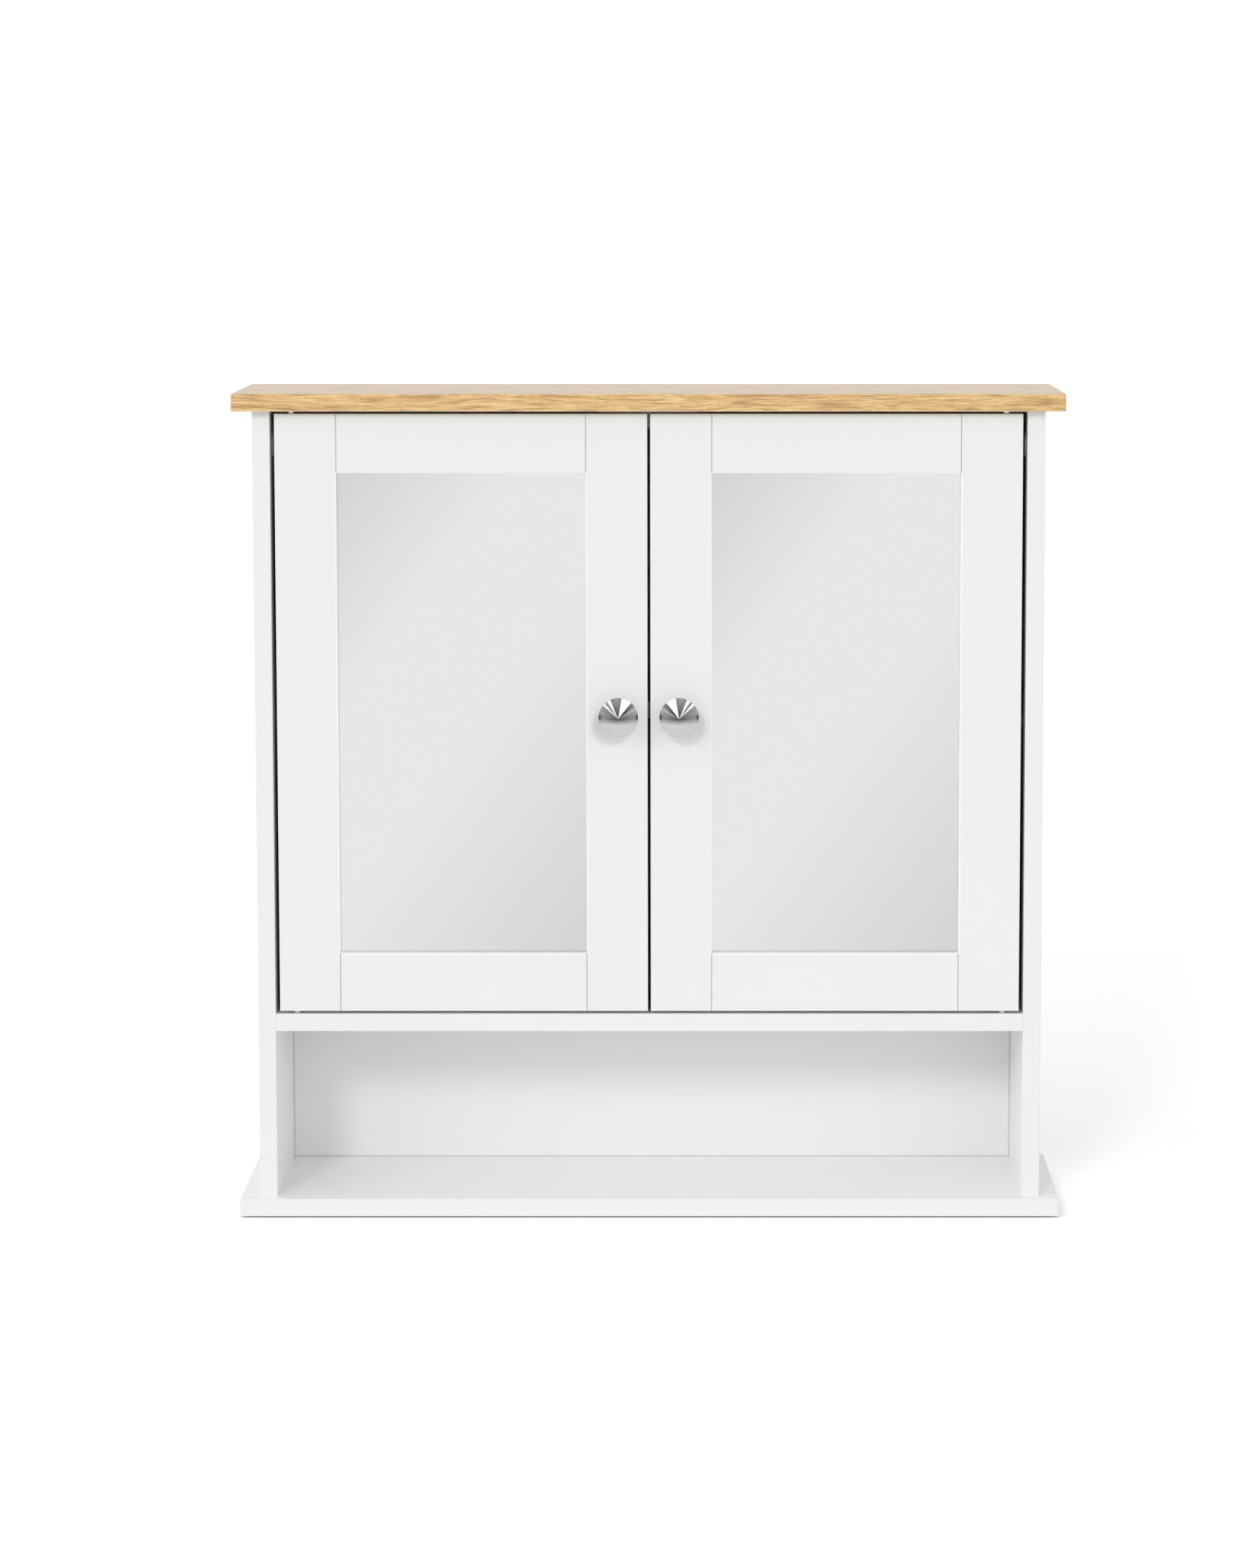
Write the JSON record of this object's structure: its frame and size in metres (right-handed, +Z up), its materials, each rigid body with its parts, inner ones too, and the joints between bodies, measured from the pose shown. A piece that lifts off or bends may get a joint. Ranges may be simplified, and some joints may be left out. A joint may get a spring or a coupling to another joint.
{
  "type": "bathroom mirror cabinet",
  "caption": "Wall-hung bathroom cabinet with mirrored doors on pivot pins, round knobs, an oak-effect top board and an open niche below.",
  "frame": {"origin": "centre of the underside of the bottom board", "axes": "+Z up, +Y towards the wall, the doors face -Y, +X to the right seen from the front"},
  "size_m": [0.56, 0.144, 0.563],
  "materials": {
    "oak_board": "oak-effect melamine, fine horizontal grain, satin",
    "white_board": "white melamine, satin",
    "white_paint": "white lacquer, satin",
    "back_hardboard": "thin hardboard, white on the front, matte",
    "brown_hardboard": "raw hardboard, matte",
    "beech": "raw turned wood, matte",
    "mirror_glass": "silvered float glass",
    "knob_metal": "turned and brushed, satin",
    "zinc_steel": "zinc plated",
    "pin_steel": "bright steel",
    "magnet": "dark ferrite",
    "white_plastic": "moulded, satin",
    "nylon": "moulded nylon"
  },
  "bodies": {
    "carcass": {"top_board": "oak_board", "bottom_board": "white_board", "left_side_panel": "white_board", "right_side_panel": "white_board", "middle_shelf": "white_board", "adjustable_shelf": "white_board", "back_panel": "back_hardboard", "hanging_rail": "white_board", "wood_dowels": "beech", "cam_bolts": "zinc_steel", "cam_locks": "zinc_steel", "cam_covers": "white_plastic", "base_screws": "zinc_steel", "shelf_pins": "zinc_steel", "pivot_pins": "pin_steel", "catch_body": "white_plastic", "catch_magnets": "magnet", "catch_pole_plates": "zinc_steel", "catch_screws": "zinc_steel"},
    "left_door": {"left_hinge_stile": "white_paint", "left_lock_stile": "white_paint", "left_top_rail": "white_paint", "left_bottom_rail": "white_paint", "left_frame_dowels": "beech", "left_mirror_glass": "mirror_glass", "left_mirror_backing": "brown_hardboard", "left_glazing_points": "zinc_steel", "left_pivot_bushes": "nylon", "left_knob": "knob_metal", "left_knob_screw": "zinc_steel", "left_strike_plate": "zinc_steel", "left_strike_screw": "zinc_steel"},
    "right_door": {"right_hinge_stile": "white_paint", "right_lock_stile": "white_paint", "right_top_rail": "white_paint", "right_bottom_rail": "white_paint", "right_frame_dowels": "beech", "right_mirror_glass": "mirror_glass", "right_mirror_backing": "brown_hardboard", "right_glazing_points": "zinc_steel", "right_pivot_bushes": "nylon", "right_knob": "knob_metal", "right_knob_screw": "zinc_steel", "right_strike_plate": "zinc_steel", "right_strike_screw": "zinc_steel"}
  },
  "joints": [
    {"name": "left_door_hinge", "type": "hinge", "parent": "carcass", "child": "left_door", "pos_m": [-0.241, -0.0495, 0.345], "axis": [0, 0, -1], "range_deg": [0, 110]},
    {"name": "right_door_hinge", "type": "hinge", "parent": "carcass", "child": "right_door", "pos_m": [0.241, -0.0495, 0.345], "axis": [0, 0, 1], "range_deg": [0, 110]}
  ]
}
